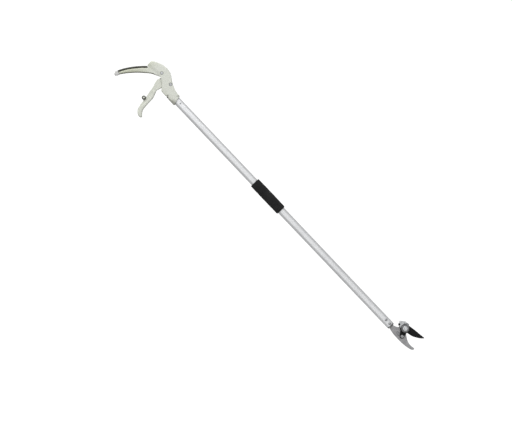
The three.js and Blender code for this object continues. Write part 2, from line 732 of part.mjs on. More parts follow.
// The torsion spring: an eye round its post, a straight leg, the coil, and a leg hooked into the blade.
function springPath() {
  const at = ([x, z], y) => new THREE.Vector3(x, y, z);
  const onCoil = (degrees) => {
    const angle = THREE.MathUtils.degToRad(degrees);
    return [BLADE_PIVOT[0] + SPRING_RADIUS * Math.cos(angle), BLADE_PIVOT[1] + SPRING_RADIUS * Math.sin(angle)];
  };
  // Degrees on the coil where a line from an outside point touches it.
  const touch = ([x, z], side) => {
    const [dx, dz] = [x - BLADE_PIVOT[0], z - BLADE_PIVOT[1]];
    const swing = Math.acos(SPRING_RADIUS / Math.hypot(dx, dz));
    return THREE.MathUtils.radToDeg(Math.atan2(dz, dx) + side * swing);
  };
  const first = touch(SPRING_POST, 1);
  const last = touch(SPRING_HOLE, -1) + 360 * 3;
  const points = [];
  const eyeRadius = 2.6;
  for (let degrees = -200; degrees < 0; degrees += 40) {
    const angle = THREE.MathUtils.degToRad(first + degrees);
    points.push(at([SPRING_POST[0] + eyeRadius * Math.cos(angle), SPRING_POST[1] + eyeRadius * Math.sin(angle)],
      SPRING_Y[0] + 0.4 * (1 + degrees / 200)));
  }
  const coilSteps = 44;
  for (let i = 0; i <= coilSteps; i += 1) {
    const y = SPRING_Y[0] + ((SPRING_Y[1] - SPRING_Y[0]) * i) / coilSteps;
    points.push(at(onCoil(first + ((last - first) * i) / coilSteps), y));
  }
  const bend = SPRING_HOLE.map((value, axis) => value * 0.85 + onCoil(last)[axis] * 0.15);
  points.push(at(bend, SPRING_Y[1]));
  points.push(at(SPRING_HOLE, SPRING_Y[1] + 1.4));
  points.push(at(SPRING_HOLE, BLADE_Y[0] + 2));
  return new THREE.CatmullRomCurve3(points, false, 'centripetal');
}

function returnSpring() {
  const wire = new THREE.Shape(arc([0, 0], WIRE_RADIUS, 0, 300, 5));
  return solid(new THREE.ExtrudeGeometry(wire, { steps: 120, bevelEnabled: false, extrudePath: springPath() }));
}

function linkPin() {
  const head = BLADE_Y[0] - GAP;
  return turned(LINK_PIN, [
    [0, head - 2.4],
    [3.4, head - 2.4],
    [4.9, head - 1],
    [4.9, head],
    [LINK_PIN_RADIUS, head],
    [LINK_PIN_RADIUS, 7.4],
    [0, 7.4],
  ]);
}

function linkPinClip() {
  const span = [BAR_Y[1] + GAP, BAR_Y[1] + GAP + 1];
  const ring = cut(rod(LINK_PIN, 5, span), rod(LINK_PIN, LINK_PIN_RADIUS + 0.15, [0, 10]));
  const opening = outline(straight([-1.5, 0], [1.5, 0], [2.4, 9], [-2.4, 9]));
  return cut(ring, plate(opening, [0, 10]).translate([LINK_PIN[0], 0, LINK_PIN[1]]));
}

// ---- Assembly -----------------------------------------------------------------------------------

const pruner = new THREE.Group();
const handle = new THREE.Group();
handle.position.z = SOCKET_MOUTH;
const head = new THREE.Group();
head.position.z = POLE_BOTTOM;
pruner.add(handle, head);

const screwHead = [-BODY_HALF + 0.4, -BODY_HALF + 3.5 - GAP];
const cheekScrew = () => capScrew(CHEEK_SCREW, 4.2, 2, -BODY_HALF - 0.6, -BODY_HALF + 1.9, -SLOT_HALF - 1.5, 2.5);

handle.add(
  part('handle_body', handleBody(), creamPaint),
  part('horn_top_pad', hornTopPad(), blackRubber),
  part('horn_end_cap', hornEndCap(), lightPlastic),
  part('trigger_pivot_screw', capScrew(TRIGGER_PIVOT, 4.2, SCREW_RADIUS, ...screwHead, BODY_HALF - 0.4, 3), zinc),
  part('trigger_pivot_nut', nut(TRIGGER_PIVOT, 7.6, SCREW_RADIUS + 0.15, [BODY_HALF - 3.2, BODY_HALF - 0.6]), zinc),
  part('cheek_screw_near', cheekScrew(), zinc),
  part('cheek_screw_far', mirrorY(cheekScrew()), zinc),
  part('clamp_screw', clampScrew(), blackSteel),
  part('trigger', triggerCasting(), creamPaint),
  part('bumper_near', bumperRing(), blackRubber),
  part('bumper_far', mirrorY(bumperRing()), blackRubber),
  part('bumper_pin', bumperPin(), creamPaint),
  part('yoke_pin', rod(YOKE_PIN, YOKE_PIN_RADIUS, [-6.1, 6.1]), zinc),
  part('rod_yoke', rodYoke(), zinc),
  part('rod_lock_nut', lockNut(YOKE_BASE[0] - GAP - 4), zinc),
);

pruner.add(
  part('pole', poleTube(), anodised),
  part('foam_grip', foamGrip(), blackFoam),
  part('pole_rivet', poleRivet(), zinc),
  part('rod_guide_upper', rodGuide(SOCKET_MOUTH - 22), naturalNylon),
  part('rod_guide_middle', rodGuide(0), naturalNylon),
  part('rod_guide_lower', rodGuide(POLE_BOTTOM + 150), naturalNylon),
  part(
    'pull_rod',
    column(circle([0, 0], ROD_RADIUS, 16), POLE_BOTTOM + COUPLER_TOP - 14, SOCKET_MOUTH + ROD_TOP),
    zinc,
  ),
);

head.add(
  part('coupler_lock_nut', lockNut(COUPLER_TOP + GAP), zinc),
  part('rod_coupler', rodCoupler(), zinc),
  part('coupler_pin', rod([0, COUPLER_BOTTOM + 9], 1.6, [-4.5, 5.9], 12), zinc),
  part('pull_bar', pullBar(), zinc),
  part('tube_end_plug', tubeEndPlug(), blackPlastic),
  part('tang_rivet_lower', tangRivet(TANG_RIVETS[0]), zinc),
  part('tang_rivet_upper', tangRivet(TANG_RIVETS[1]), zinc),
  part('counter_blade', counterBlade(), greySteel),
  part('cutting_blade', cuttingBlade(), blackSteel),
  part('link_pin', linkPin(), zinc),
  part('link_pin_clip', linkPinClip(), zinc),
  part('pivot_bolt', pivotBolt(), zinc),
  part('pivot_bushing', pivotBushing(), zinc),
  part('bearing_washer', bearingWasher(), zinc),
  part('spring_bracket', springBracket(), zinc),
  part('lock_disc', lockDisc(), zinc),
  part('lock_screw', lockScrew(), zinc),
  part('pivot_nut', nut(BLADE_PIVOT, 13, BOLT_RADIUS + 0.15, NUT_Y), zinc),
  part('spring_post', springPost(), blackSteel),
  part('return_spring', returnSpring(), blackSteel),
);

export default pruner;
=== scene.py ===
"""The looks of a long-reach pruner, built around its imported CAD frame. All lengths are in metres."""

import json
import math

import bmesh
import bpy
from mathutils import Matrix, Vector, noise


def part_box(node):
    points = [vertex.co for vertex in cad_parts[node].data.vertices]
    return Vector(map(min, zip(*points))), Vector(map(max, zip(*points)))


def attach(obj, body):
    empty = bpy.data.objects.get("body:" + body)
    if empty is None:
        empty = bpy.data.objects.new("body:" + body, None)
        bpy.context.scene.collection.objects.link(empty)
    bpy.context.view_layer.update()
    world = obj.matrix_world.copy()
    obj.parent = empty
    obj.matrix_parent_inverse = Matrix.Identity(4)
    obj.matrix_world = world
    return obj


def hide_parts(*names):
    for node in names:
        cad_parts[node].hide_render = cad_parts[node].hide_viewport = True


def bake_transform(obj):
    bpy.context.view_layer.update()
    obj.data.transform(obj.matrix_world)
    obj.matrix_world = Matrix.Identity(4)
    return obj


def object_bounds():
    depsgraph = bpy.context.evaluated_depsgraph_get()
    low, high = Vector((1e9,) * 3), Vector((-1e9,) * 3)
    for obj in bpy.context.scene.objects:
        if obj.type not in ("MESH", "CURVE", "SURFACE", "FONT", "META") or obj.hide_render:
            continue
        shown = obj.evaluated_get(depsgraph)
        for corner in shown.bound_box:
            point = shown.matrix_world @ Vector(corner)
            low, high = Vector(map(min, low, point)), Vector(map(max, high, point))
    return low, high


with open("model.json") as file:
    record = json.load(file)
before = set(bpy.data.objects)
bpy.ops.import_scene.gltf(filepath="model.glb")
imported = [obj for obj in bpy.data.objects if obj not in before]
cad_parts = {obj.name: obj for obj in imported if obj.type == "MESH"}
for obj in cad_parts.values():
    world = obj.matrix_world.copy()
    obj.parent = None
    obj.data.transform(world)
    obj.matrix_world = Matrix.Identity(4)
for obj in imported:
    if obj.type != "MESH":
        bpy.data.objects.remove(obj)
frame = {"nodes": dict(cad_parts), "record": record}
cad_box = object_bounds()
scene = bpy.context.scene
MM = 0.001

slot_of = {part["node"]: part["material_slot"] for part in frame["record"]["subparts"]}
body_of = {node: body for body, nodes in frame["record"]["behaviour"]["bodies"].items() for node in nodes}

# Places and sizes that the CAD nodes' boxes don't give.
SOCKET_MOUTH = 0.4024
POLE_HALF = (0.012, 0.009)
POLE_WALL = 0.0015
HORN_HALF = 0.011
RIVET_HOLE = 0.0019
HEX_ACROSS = 0.013
SCREW_KEY = 0.0036
TOUCH = 0.00005
BLADE_PIVOT = (0.0262, -0.579)
SPRING_HOLE = (0.0315, -0.5944)
HORN_TOP_ARC = ((-0.1704, 0, 0.3673), 0.2493)  # centre and radius
HORN_UNDER_ARC = ((-0.2267, 0, 0.3395), 0.2878)
HORN_ROOT = 0.008
# centre of the painted shade around the socket clamp screw
CLAMP_PAINTED_SHADE = (-0.0098, -0.0125, 0.4325)


# ---- Material graphs ------------------------------------------------------------------------------


class Graph:
    """A material's node graph around its Principled shader."""

    def __init__(self, name):
        self.material = bpy.data.materials.new(name)
        self.material.use_nodes = True
        self.tree = self.material.node_tree
        self.shader = self.tree.nodes["Principled BSDF"]
        self.place = self.add("TexCoord").outputs["Object"]

    def add(self, kind, inputs=None, **settings):
        made = self.tree.nodes.new("ShaderNode" + kind)
        for key, value in settings.items():
            setattr(made, key, value)
        for key, value in (inputs or {}).items():
            self.set(made.inputs[key], value)
        return made

    def set(self, socket, value):
        if isinstance(value, bpy.types.NodeSocket):
            self.tree.links.new(value, socket)
        else:
            socket.default_value = value

    def surface(self, **values):
        for key, value in values.items():
            self.set(self.shader.inputs[key.replace("_", " ")], value)

    def stretched(self, stretch, turn=0.0):
        mapping = self.add("Mapping", {"Vector": self.place, "Scale": stretch, "Rotation": (0, turn, 0)})
        return mapping.outputs["Vector"]

    def noise(self, scale, detail=4, rough=0.5, stretch=(1, 1, 1), turn=0.0):
        where = self.stretched(stretch, turn)
        made = self.add("TexNoise", {"Vector": where, "Scale": scale, "Detail": detail, "Roughness": rough})
        return made.outputs["Fac"]

    def cells(self, scale, feature="F1"):
        made = self.add("TexVoronoi", {"Vector": self.place, "Scale": scale}, feature=feature)
        return made.outputs["Distance"]

    def ramp(self, factor, low, high, start=0.0, end=1.0):
        """A number that goes from start to end as factor goes from low to high."""
        inputs = {"Value": factor, "From Min": low, "From Max": high, "To Min": start, "To Max": end}
        return self.add("MapRange", inputs, clamp=True).outputs["Result"]

    def math(self, kind, a, b=0.0):
        return self.add("Math", {0: a, 1: b}, operation=kind).outputs[0]

    def mix(self, factor, a, b, kind="MIX"):
        made = self.add("Mix", {0: factor, 6: a, 7: b}, data_type="RGBA", blend_type=kind)
        return made.outputs[2]

    def coordinate(self, axis):
        return self.add("SeparateXYZ", {"Vector": self.place}).outputs[axis]

    def distance(self, point):
        return self.add("VectorMath", {0: self.place, 1: point}, operation="DISTANCE").outputs["Value"]

    def edges(self, low, high):
        return self.ramp(self.add("NewGeometry").outputs["Pointiness"], low, high)

    def crevices(self, distance, start=1.0, end=0.0):
        """1 deep in a crevice, 0 in the open."""
        made = self.add("AmbientOcclusion", {"Distance": distance}, samples=6)
        return self.ramp(made.outputs["AO"], 0.25, 0.9, start, end)

    def bump(self, height, strength, distance, under=None):
        inputs = {"Height": height, "Strength": strength, "Distance": distance}
        if under is not None:
            inputs["Normal"] = under
        return self.add("Bump", inputs).outputs["Normal"]


def rgb(red, green, blue):
    """An sRGB colour given in 0-255 as linear RGBA."""
    linear = [((c / 255 + 0.055) / 1.055) ** 2.4 if c > 10 else c / 255 / 12.92 for c in (red, green, blue)]
    return (*linear, 1.0)


def casting(name, colour, shade, olive_tip_and_painted_shade):
    """Cream powder coat on an aluminium casting, with a faint parting line along the middle plane. The last
    flag adds an olive tint towards the horn's tip and painted shade on the horn's lower side and underside,
    around the clamp screw and at the socket mouth.
    """
    g = Graph(name)
    drift = g.noise(22, 3)
    colour = g.mix(g.ramp(drift, 0.35, 0.7), colour, shade)
    if olive_tip_and_painted_shade:
        # darker and more olive towards the horn's tip
        toward_tip = g.ramp(g.coordinate("Z"), 0.515, 0.575)
        olive = g.math("MULTIPLY", toward_tip, g.ramp(g.noise(35, 4), 0.2, 0.7, 0.45, 1.0))
        colour = g.mix(olive, colour, rgb(188, 191, 166))
        on_horn = g.ramp(g.coordinate("X"), HORN_ROOT - 0.003, HORN_ROOT, 1.0, 0.0)
        # painted shade: the horn darkens further below its top arc, away from the body
        below_top = g.math("SUBTRACT", HORN_TOP_ARC[1], g.distance(HORN_TOP_ARC[0]))
        toward_root = g.ramp(g.coordinate("X"), -0.03, 0.0, 0.6, 0.0)
        painted_low_side_shade = g.math("MULTIPLY", toward_root, g.ramp(below_top, 0.004, 0.014))
        colour = g.mix(painted_low_side_shade, colour, rgb(160, 162, 143))
        # painted shade: a dark line along the horn's rounded underside
        above_edge = g.math("SUBTRACT", g.distance(HORN_UNDER_ARC[0]), HORN_UNDER_ARC[1])
        painted_under_edge_shade = g.ramp(g.math("ABSOLUTE", above_edge), 0.0012, 0.004, 0.85, 0.0)
        colour = g.mix(g.math("MULTIPLY", on_horn, painted_under_edge_shade), colour, rgb(104, 106, 90))
        # painted shade around the socket clamp screw, mottled by noise
        clamp_shade_mottle = g.ramp(g.noise(420, 4), 0.3, 0.6, 0.6, 1.0)
        painted_clamp_shade = g.ramp(g.distance(CLAMP_PAINTED_SHADE), 0.0018, 0.0042, 0.75, 0.0)
        colour = g.mix(g.math("MULTIPLY", painted_clamp_shade, clamp_shade_mottle), colour, rgb(92, 92, 84))
        # painted shade on the socket's -X side, darkest at its mouth
        painted_mouth_shade = g.ramp(g.coordinate("Z"), SOCKET_MOUTH + 0.002, SOCKET_MOUTH + 0.016, 0.6, 0.0)
        painted_shade_front = g.ramp(g.coordinate("X"), -0.011, 0.003, 1.0, 0.0)
        colour = g.mix(g.math("MULTIPLY", painted_mouth_shade, painted_shade_front), colour, rgb(150, 150, 141))
    # dirt and painted shade in crevices, from ambient occlusion mottled by noise
    grime_and_crevice_shade = g.math("MULTIPLY", g.crevices(0.004), g.ramp(g.noise(160, 6, 0.65), 0.3, 0.65, 0.35, 0.8))
    colour = g.mix(grime_and_crevice_shade, colour, rgb(112, 113, 100))
    specks = g.ramp(g.noise(520, 2, 0.4), 0.69, 0.73, 0.0, 0.5)
    colour = g.mix(specks, colour, rgb(150, 152, 138))
    worn = g.math("MULTIPLY", g.edges(0.535, 0.57), g.ramp(g.noise(120, 5, 0.7), 0.5, 0.62))
    colour = g.mix(worn, colour, rgb(236, 236, 230))
    rough = g.ramp(g.noise(90, 5, 0.6), 0.3, 0.7, 0.34, 0.5)
    seam = g.ramp(g.math("ABSOLUTE", g.coordinate("Y")), 0.00015, 0.0004, 1.0, 0.0)
    peel = g.bump(g.noise(1300, 2), 0.16, 0.0002)
    waves = g.bump(g.noise(140, 3), 0.1, 0.0003, peel)
    g.surface(Base_Color=colour, Roughness=rough, Normal=g.bump(seam, 0.35, 0.0002, waves))
    g.surface(Coat_Weight=0.15, Coat_Roughness=0.25)
    return g.material


def rubber(name, colour, worn_colour, grain=1700):
    g = Graph(name)
    dusty = g.ramp(g.noise(70, 6, 0.65), 0.42, 0.72, 0.0, 0.75)
    rubbed = g.math("MAXIMUM", dusty, g.edges(0.53, 0.58))
    tone = g.mix(rubbed, colour, worn_colour)
    g.surface(Base_Color=tone, Roughness=g.ramp(g.noise(45, 4, 0.55), 0.3, 0.7, 0.62, 0.82))
    fine = g.bump(g.noise(grain, 3, 0.6), 0.5, 0.0002)
    g.surface(Normal=g.bump(g.cells(grain * 0.4), 0.25, 0.0003, fine))
    return g.material


def foam(name):
    """Closed-cell foam: a mat of burst cells, greyed where a hand rubs it."""
    g = Graph(name)
    cell = g.cells(900)
    coarse = g.cells(330)
    rubbed = g.ramp(g.noise(38, 5, 0.6), 0.45, 0.75, 0.0, 0.7)
    colour = g.mix(rubbed, rgb(27, 27, 28), rgb(42, 42, 42))
    # painted shade at the bottoms of the foam's cell pits
    pit_painted_shade = g.ramp(cell, 0.05, 0.5, 0.0, 1.0)
    colour = g.mix(pit_painted_shade, rgb(12, 12, 13), colour)
    dust = g.ramp(g.noise(700, 2, 0.5), 0.68, 0.74, 0.0, 0.5)
    colour = g.mix(dust, colour, rgb(74, 74, 72))
    small = g.bump(cell, 0.7, 0.0004)
    large = g.bump(coarse, 0.35, 0.0006, small)
    g.surface(Base_Color=colour, Roughness=g.ramp(cell, 0.0, 0.6, 0.95, 0.82))
    g.surface(Normal=g.bump(g.noise(90, 4), 0.4, 0.0008, large), Sheen_Weight=0.04, Sheen_Roughness=0.6)
    g.surface(Specular_IOR_Level=0.2)
    return g.material


def plastic(name, colour, stained, rough=0.42):
    g = Graph(name)
    tone = g.mix(g.ramp(g.noise(60, 5), 0.4, 0.7), colour, stained)
    # painted shade in crevices, from ambient occlusion
    tone = g.mix(g.math("MULTIPLY", g.crevices(0.003), 0.5), tone, rgb(60, 60, 56))
    fine = g.bump(g.noise(2200, 2), 0.2, 0.0001)
    scuffs = g.noise(260, 5, 0.7, (1, 1, 0.2), 0.7)
    g.surface(Base_Color=tone, Roughness=g.ramp(scuffs, 0.35, 0.7, rough - 0.08, rough + 0.12))
    g.surface(Normal=g.bump(scuffs, 0.12, 0.0002, fine))
    return g.material


def steel(name, colour, shade, rough, stretch, painted_clamp_shade=0.4, turn=0.0, metallic=1.0):
    """Bare or plated metal: brushed along one direction, with faint stains and brighter worn edges."""
    g = Graph(name)
    lines = g.noise(700, 4, 0.65, stretch, turn)
    tone = g.mix(g.ramp(lines, 0.3, 0.7), colour, shade)
    clouds = g.ramp(g.noise(55, 6, 0.6), 0.48, 0.75, 0.0, painted_clamp_shade)
    tone = g.mix(clouds, tone, [c * 0.62 for c in shade[:3]] + [1])
    # dirt and painted shade in crevices, from ambient occlusion mottled by noise
    grime_and_crevice_shade = g.math("MULTIPLY", g.crevices(0.0025), g.ramp(g.noise(300, 5), 0.3, 0.7, 0.25, 0.75))
    tone = g.mix(grime_and_crevice_shade, tone, rgb(44, 42, 40))
    tone = g.mix(g.math("MULTIPLY", g.edges(0.53, 0.57), 0.55), tone, rgb(236, 238, 240))
    spread = g.ramp(g.noise(150, 5, 0.6), 0.3, 0.7, rough - 0.06, rough + 0.1)
    scratch = g.ramp(g.noise(900, 3, 0.5, (stretch[2], 1, stretch[0]), turn + 0.6), 0.64, 0.7)
    fine = g.bump(lines, 0.1, 0.0001)
    g.surface(Base_Color=tone, Metallic=metallic, Normal=g.bump(scratch, 0.08, 0.0001, fine))
    g.surface(Roughness=g.math("ADD", spread, g.math("MULTIPLY", clouds, 0.2)))
    return g.material


def coated_steel(name):
    """Black non-stick coating on a ground blade: satin, with grinding lines and scuffs down to grey."""
    g = Graph(name)
    lines = g.noise(800, 4, 0.6, (0.12, 1, 1), 0.45)
    tone = g.mix(g.ramp(lines, 0.35, 0.65), rgb(17, 17, 18), rgb(23, 23, 24))
    rubbed = g.math("MULTIPLY", g.ramp(g.noise(85, 7, 0.7), 0.56, 0.72), g.ramp(lines, 0.4, 0.6))
    tone = g.mix(g.math("MULTIPLY", rubbed, 0.4), tone, rgb(44, 44, 46))
    fine = g.bump(lines, 0.12, 0.0001)
    g.surface(Base_Color=tone, Metallic=0.0, Roughness=g.ramp(g.noise(120, 5), 0.3, 0.7, 0.4, 0.56))
    g.surface(Normal=g.bump(g.noise(1500, 2), 0.08, 0.0001, fine), Specular_IOR_Level=0.12)
    return g.material


ALONG_POLE = (1, 1, 0.02)
LOOKS = {
    "cream_casting": casting("cream_coat", rgb(206, 208, 198), rgb(196, 199, 188), False),
    "black_rubber": rubber("black_rubber_skin", rgb(60, 61, 52), rgb(96, 98, 85)),
    "light_plastic": plastic("light_cap_plastic", rgb(200, 200, 199), rgb(184, 184, 181)),
    "zinc_steel": steel("zinc_plate", rgb(196, 198, 199), rgb(168, 170, 172), 0.3, (0.2, 1, 1), 0.45),
    "anodised_tube": steel(
        "anodised_aluminium", rgb(232, 233, 234), rgb(222, 223, 225), 0.46, ALONG_POLE, 0.12, metallic=0.8
    ),
    "foam": foam("cellular_foam"),
    "black_plastic": plastic("grey_plug_plastic", rgb(118, 118, 118), rgb(98, 98, 97), 0.5),
    "nylon": plastic("natural_nylon", rgb(226, 221, 205), rgb(210, 203, 184), 0.5),
    "grey_steel": steel(
        "bead_blasted_steel", rgb(172, 172, 173), rgb(152, 152, 154), 0.5, (1, 1, 0.25), 0.35
    ),
    "black_steel": coated_steel("black_coating"),
}
# the handle's cream, with the olive horn tip and the painted shade on horn and socket
CREAM_OLIVE_TIP_PAINTED_SHADE = casting("cream_coat_olive_tip_painted_shade", rgb(208, 210, 201), rgb(199, 202, 192), True)
DULL_STEEL = steel("dull_steel", rgb(172, 173, 175), rgb(146, 147, 149), 0.42, (1, 1, 0.2), 0.5)
DARK_STEEL = steel("dark_steel", rgb(136, 137, 139), rgb(112, 113, 115), 0.38, (1, 1, 1), 0.5)
GROUND_EDGE = steel("ground_edge", rgb(206, 208, 210), rgb(176, 178, 180), 0.28, (0.1, 1, 1), 0.1, 0.45)


# ---- Mesh building --------------------------------------------------------------------------------

FLAT_MARGIN = 0.4 * MM


def finished(piece, node, soften=True, sharp=35, look=None):
    """Shades a piece, gives it the look of a CAD node's material slot or the look passed in, and lets it
    stand for that node.
    """
    mesh = piece.data
    mesh.shade_smooth()
    mesh.set_sharp_from_angle(angle=math.radians(sharp))
    if soften:
        piece.modifiers.new("normals", "WEIGHTED_NORMAL").keep_sharp = True
    if not mesh.materials:
        mesh.materials.append(look or LOOKS[slot_of[node]])
    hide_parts(node)
    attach(piece, body_of[node])
    return piece


def placed(name, mesh):
    piece = bpy.data.objects.new(name, mesh)
    scene.collection.objects.link(piece)
    return piece


def from_bmesh(name, bm):
    bmesh.ops.recalc_face_normals(bm, faces=bm.faces)
    mesh = bpy.data.meshes.new(name)
    bm.to_mesh(mesh)
    bm.free()
    return placed(name, mesh)


def applied(piece):
    """Bakes the piece's modifiers into its mesh."""
    evaluated = piece.evaluated_get(bpy.context.evaluated_depsgraph_get())
    mesh = bpy.data.meshes.new_from_object(evaluated)
    piece.modifiers.clear()
    piece.data = mesh
    return piece


def copy_of(node, name):
    mesh = frame["nodes"][node].data.copy()
    mesh.materials.clear()
    bm = bmesh.new()
    bm.from_mesh(mesh)
    bmesh.ops.remove_doubles(bm, verts=bm.verts, dist=0.005 * MM)
    bm.to_mesh(mesh)
    bm.free()
    return placed(name, mesh)


def cast_piece(node, name, voxel, rounds, keep=0.45, look=None, reshape=None):
    """A CAD solid with the rounded edges and blended corners of a casting or moulding."""
    piece = copy_of(node, name)
    remesh = piece.modifiers.new("remesh", "REMESH")
    remesh.mode = "VOXEL"
    remesh.voxel_size = voxel
    if reshape:
        applied(piece)
        for vertex in piece.data.vertices:
            vertex.co = reshape(vertex.co)
    smooth = piece.modifiers.new("smooth", "SMOOTH")
    smooth.factor = 0.5
    smooth.iterations = rounds
    applied(piece)
    thin = piece.modifiers.new("thin", "DECIMATE")
    thin.ratio = keep
    applied(piece)
    return finished(piece, node, soften=False, sharp=60, look=look)


def face_loops(node, y):
    """The closed outlines, outer and holes, of a CAD node's flat face at y that looks towards -Y."""
    mesh = frame["nodes"][node].data
    grid = 1e5
    edges = set()
    for face in mesh.polygons:
        if abs(face.center.y - y) < 0.02 * MM and face.normal.y < -0.99:
            corners = [mesh.vertices[i].co for i in face.vertices]
            keys = [(round(c.x * grid), round(c.z * grid)) for c in corners]
            for edge in zip(keys, keys[1:] + keys[:1]):
                if edge[::-1] in edges:
                    edges.remove(edge[::-1])
                elif edge[0] != edge[1]:
                    edges.add(edge)
    follows = dict(sorted(edges))
    loops = []
    while follows:
        first = min(follows)
        loop, at = [first], follows.pop(first)
        while at != first:
            loop.append(at)
            at = follows.pop(at)
        loops.append([Vector((x / grid, z / grid)) for x, z in loop])
    return loops


def smooth_loop(points, pieces=4, corner=27):
    """The same closed outline with its facets turned into curves. Corners and long straight runs stay."""
    count = len(points)
    steps = [points[(i + 1) % count] - points[i] for i in range(count)]
    tangents = []
    for i in range(count):
        before, after = steps[i - 1], steps[i]
        if before.angle(after) > math.radians(corner):
            tangents.append(None)
        elif before.length > 2.2 * after.length:
            tangents.append(before.normalized())
        elif after.length > 2.2 * before.length:
            tangents.append(after.normalized())
        else:
            middle = before * (after.length / before.length) + after * (before.length / after.length)
            tangents.append(middle.normalized())
    smooth = []
    for i in range(count):
        start, step = points[i], steps[i]
        leave = (tangents[i] or step.normalized()) * step.length
        arrive = (tangents[(i + 1) % count] or step.normalized()) * step.length
        for k in range(pieces):
            t = k / pieces
            smooth.append(
                start * (2 * t**3 - 3 * t**2 + 1)
                + leave * (t**3 - 2 * t**2 + t)
                + (start + step) * (3 * t**2 - 2 * t**3)
                + arrive * (t**3 - t**2)
            )
    return smooth


def inward(points):
    """For each point of an outline, the mitred step into the material, which lies on its left."""
    steps = []
    for i, point in enumerate(points):
        before = (point - points[i - 1]).normalized()
        after = (points[(i + 1) % len(points)] - point).normalized()
        left = Vector((-before.y - after.y, before.x + after.x)).normalized()
        cosine = max(0.5, left.dot(Vector((-before.y, before.x))))
        steps.append(left / cosine)
    return steps


def plate_mesh(loops, levels):
    """A plate through levels of (y, inset), where an inset may depend on the outline and the point."""
    bm = bmesh.new()
    caps = [[], []]
    for which, points in enumerate(loops):
        steps = inward(points)
        rings = []
        for y, inset in levels:
            ring = []
            for i, point in enumerate(points):
                depth = inset(which, i) if callable(inset) else inset
                at = point + steps[i] * depth
                ring.append(bm.verts.new((at.x, y, at.y)))
            rings.append(ring)
        for low, high in zip(rings, rings[1:]):
            for i in range(len(points)):
                j = (i + 1) % len(points)
                bm.faces.new((low[i], low[j], high[j], high[i]))
        for cap, ring in zip(caps, (rings[0], rings[-1])):
            cap += [bm.edges.get((ring[i - 1], ring[i])) for i in range(len(ring))]
    for cap in caps:
        bmesh.ops.triangle_fill(bm, edges=cap, use_beauty=True)
    return bm


def rounded_levels(low, high, radius, rounds=3):
    """Levels of a plate whose edges are rounded: a quarter circle at each face."""
    quarter = [math.radians(90 * k / rounds) for k in range(rounds + 1)]
    levels = [(low + radius * (1 - math.sin(a)), radius * (1 - math.cos(a))) for a in reversed(quarter)]
    levels += [(high - radius * (1 - math.sin(a)), radius * (1 - math.cos(a))) for a in quarter]
    return levels


def plate_piece(node, name, radius, pieces=4, look=None):
    low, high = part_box(node)
    loops = [smooth_loop(loop, pieces) for loop in face_loops(node, low.y)]
    flat = radius + FLAT_MARGIN
    levels = [(low.y, flat), *rounded_levels(low.y, high.y, radius), (high.y, flat)]
    return finished(from_bmesh(name, plate_mesh(loops, levels)), node, look=look)


def lathe(name, centre, profile, segments=48, bevel=0.15 * MM):
    """A turned piece on an axis parallel to Y. The profile is (radius, y) from end to end."""
    bm = bmesh.new()
    rings = []
    for radius, y in profile:
        if radius < 1e-7:
            rings.append([bm.verts.new((centre[0], y, centre[1]))] * segments)
            continue
        ring = []
        for i in range(segments):
            angle = 2 * math.pi * i / segments
            where = (centre[0] + radius * math.cos(angle), y, centre[1] + radius * math.sin(angle))
            ring.append(bm.verts.new(where))
        rings.append(ring)
    for low, high in zip(rings, rings[1:]):
        for i in range(segments):
            j = (i + 1) % segments
            corners = list(dict.fromkeys((low[i], low[j], high[j], high[i])))
            if len(corners) > 2:
                bm.faces.new(corners)
    piece = from_bmesh(name, bm)
    if bevel:
        rounding = piece.modifiers.new("rounding", "BEVEL")
        rounding.width = bevel
        rounding.segments = 2
        rounding.limit_method = "ANGLE"
        rounding.angle_limit = math.radians(32)
        applied(piece)
    return piece


def prism(name, centre, across, y0, y1, turn=0.0):
    """A hexagonal prism along Y."""
    bm = bmesh.new()
    radius = across / math.sqrt(3)
    rings = []
    for y in (y0, y1):
        ring = []
        for angle in [math.radians(60 * k + turn) for k in range(6)]:
            x, z = centre[0] + radius * math.cos(angle), centre[1] + radius * math.sin(angle)
            ring.append(bm.verts.new((x, y, z)))
        rings.append(ring)
    for i in range(6):
        bm.faces.new((rings[0][i - 1], rings[0][i], rings[1][i], rings[1][i - 1]))
    bm.faces.new(rings[0])
    bm.faces.new(rings[1])
    return from_bmesh(name, bm)


def combined(piece, tool, kind):
    """Joins, cuts or intersects piece with tool, which is used up."""
    step = piece.modifiers.new("combine", "BOOLEAN")
    step.operation = kind
    step.solver = "EXACT"
    step.object = tool
    applied(piece)
    bpy.data.objects.remove(tool)
    return piece


def rounded_edges(piece, width, segments=2, angle=30):
    rounding = piece.modifiers.new("rounding", "BEVEL")
    rounding.width = width
    rounding.segments = segments
    rounding.limit_method = "ANGLE"
    rounding.angle_limit = math.radians(angle)
    return applied(piece)


def bore_tool(centre, radius, y0, y1):
    """A rod that reaches 1 mm past a piece's two faces, to cut a bore with."""
    ends = (y0 - MM, y1 + MM)
    return lathe("bore", centre, [(0, ends[0]), (radius, ends[0]), (radius, ends[1]), (0, ends[1])])


def chamfered_hexagon(name, centre, across, y0, y1, turn=0.0):
    """A hexagon with the coned corners of a turned nut or bolt head."""
    corner = across / math.sqrt(3)
    drop = (corner - across / 2) * 0.6
    face = across * 0.48
    cone_profile = [(0, y0), (face, y0), (corner, y0 + drop), (corner, y1 - drop), (face, y1), (0, y1)]
    cone = lathe(name + "_cone", centre, cone_profile, bevel=0)
    return combined(prism(name, centre, across, y0, y1, turn), cone, "INTERSECT")


def obround(half_width, half_thickness, arc_steps=24, side_steps=6):
    """Points round a section with two flat sides and two half-round ends, from +X, in the XY plane."""
    reach = half_width - half_thickness
    points = []
    for side in (1, -1):
        for k in range(arc_steps):
            angle = math.radians(-90 + 180 * k / arc_steps)
            x, y = reach + half_thickness * math.cos(angle), half_thickness * math.sin(angle)
            points.append(Vector((side * x, side * y)))
        for k in range(side_steps):
            x = reach - 2 * reach * k / side_steps
            points.append(Vector((side * x, side * half_thickness)))
    return points


